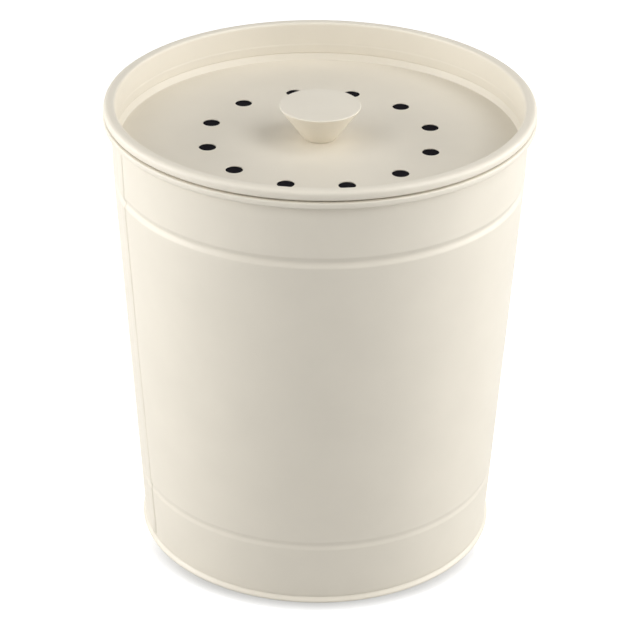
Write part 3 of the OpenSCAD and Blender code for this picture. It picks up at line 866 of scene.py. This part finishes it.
def floor():
    """Pale floor that shows white to the camera: the lamps' shadow falls on its matt part, and a painted
    contact shadow darkens its glow in front of the foot.
    """
    material = bpy.data.materials.new("studio_floor")
    material.use_nodes = True
    tree = material.node_tree
    tree.nodes.clear()
    out = tree.nodes.new("ShaderNodeOutputMaterial")
    add = tree.nodes.new("ShaderNodeAddShader")
    matt = tree.nodes.new("ShaderNodeBsdfDiffuse")
    matt.inputs["Color"].default_value = (FLOOR_TONE, FLOOR_TONE, FLOOR_TONE, 1)
    glow = tree.nodes.new("ShaderNodeEmission")
    open_sky = tree.nodes.new("ShaderNodeAmbientOcclusion")
    open_sky.inputs["Distance"].default_value = CONTACT_REACH
    place = tree.nodes.new("ShaderNodeNewGeometry").outputs["Position"]
    split = tree.nodes.new("ShaderNodeSeparateXYZ")
    away = tree.nodes.new("ShaderNodeVectorMath")
    away.operation = "LENGTH"
    tree.links.new(place, split.inputs[0])
    tree.links.new(place, away.inputs[0])
    share = ramp(tree, away.outputs["Value"], (GLOW_NEAR, GLOW_FAR, FLOOR_GLOW, 1.0))
    # Painted shadow: the glow is darkened by ambient occlusion near the foot, in front of the caddy only
    shade = ramp(tree, split.outputs["Y"], (SHADE_START_Y, SHADE_FULL_Y, 0.0, FLOOR_SHADE))
    painted_contact_shadow = combined(tree, "POWER", open_sky.outputs["AO"], shade)
    strength = combined(tree, "MULTIPLY", seen_level(tree), share)
    tree.links.new(combined(tree, "MULTIPLY", strength, painted_contact_shadow), glow.inputs["Strength"])
    tree.links.new(matt.outputs[0], add.inputs[0])
    tree.links.new(glow.outputs[0], add.inputs[1])
    tree.links.new(add.outputs[0], out.inputs["Surface"])

    mesh = bmesh.new()
    bmesh.ops.create_circle(mesh, cap_ends=True, segments=128, radius=FLOOR_R)
    data = bpy.data.meshes.new("floor")
    mesh.to_mesh(data)
    mesh.free()
    data.materials.append(material)
    obj = bpy.data.objects.new("floor", data)
    bpy.context.scene.collection.objects.link(obj)


def world():
    """White to the camera and dimmer in reflections; the lamps light everything else."""
    w = bpy.data.worlds.new("studio")
    bpy.context.scene.world = w
    w.use_nodes = True
    tree = w.node_tree
    tree.nodes.clear()
    out = tree.nodes.new("ShaderNodeOutputWorld")
    white = tree.nodes.new("ShaderNodeBackground")
    white.inputs["Color"].default_value = (1, 1, 1, 1)
    tree.links.new(seen_level(tree), white.inputs["Strength"])
    tree.links.new(white.outputs[0], out.inputs["Surface"])


def softbox(name, azimuth, elevation, width, height, power, distance):
    """An area lamp aimed at the caddy. Azimuth runs counter-clockwise from the caddy's right."""
    lamp = bpy.data.lights.new(name, "AREA")
    lamp.shape = "RECTANGLE"
    lamp.size, lamp.size_y = width, height
    lamp.energy = power
    level = distance * cos(radians(elevation))
    place = Vector((level * cos(radians(azimuth)), level * sin(radians(azimuth)),
                    distance * sin(radians(elevation))))
    obj = bpy.data.objects.new(name, lamp)
    obj.location = place + Vector((0, 0, LAMP_AIM_Z))
    obj.rotation_euler = (-place).to_track_quat("-Z", "Y").to_euler()
    bpy.context.scene.collection.objects.link(obj)


def lamps():
    """Pairs of softboxes, the left ones stronger low down and the right ones high up, and two single."""
    for name, azimuth, elevation, height, left_power, right_power in (
            ("front_high", -35, 35, 0.7, 4.3, 5.7), ("front_low", -15, 12, 0.6, 6.5, 3.7),
            ("side_low", 5, 12, 0.6, 6.2, 6.2), ("side_high", 0, 55, 0.7, 2.6, 5.4),
            ("rear_low", 30, 12, 0.6, 2.8, 2.8)):
        for side, turn, power in (("left", 180 - azimuth, left_power), ("right", azimuth, right_power)):
            softbox(f"{name}_{side}", turn, elevation, SIDE_LAMP_W, height, power, SIDE_LAMP_DISTANCE)
    softbox("front", -90, 20, 1.4, 0.8, 4.3, 1.7)
    softbox("above", 0, 90, 1.2, 1.2, 1.9, 1.6)


def camera():
    """Camera at the photo's view, turned by its pitch, yaw and roll."""
    forward = Vector((sin(CAMERA_YAW) * cos(CAMERA_PITCH), cos(CAMERA_YAW) * cos(CAMERA_PITCH),
                      -sin(CAMERA_PITCH)))
    level = Vector((cos(CAMERA_YAW), -sin(CAMERA_YAW), 0))
    upright = level.cross(forward)
    right = level * cos(CAMERA_ROLL) + upright * sin(CAMERA_ROLL)
    up = upright * cos(CAMERA_ROLL) - level * sin(CAMERA_ROLL)
    data = bpy.data.cameras.new("camera")
    data.sensor_width = 36
    data.lens = LENS
    obj = bpy.data.objects.new("camera", data)
    turn = Matrix((right, up, -forward)).transposed().to_4x4()
    obj.matrix_world = Matrix.Translation(CAMERA_AT) @ turn
    bpy.context.scene.collection.objects.link(obj)
    bpy.context.scene.camera = obj


# ---------------------------------------------------------------- build
def build():
    camera()
    paint = powder_coat("cream_powder_coat", PAINT)
    metal = zinc_plate()
    canister_shell(paint)
    canister_floor(paint)
    lid_shell(paint)
    knob(paint)
    threaded_stud(metal)
    flat_washer(metal)
    spring_washer(metal)
    hex_nut(metal)
    filter_pad(carbon_felt())
    filter_grille(moulded_plastic("black_cover_plastic", (0.018, 0.018, 0.02, 1)))
    lobed_nut(moulded_plastic("black_nut_plastic", (0.02, 0.02, 0.021, 1), 0.35))
    liner(moulded_plastic("grey_liner_plastic", (0.22, 0.225, 0.225, 1)))
    handle(moulded_plastic("grey_handle_plastic", (0.2, 0.205, 0.205, 1), 0.38))
    floor()
    world()
    lamps()
    bpy.context.scene.view_settings.view_transform = "Standard"


build()
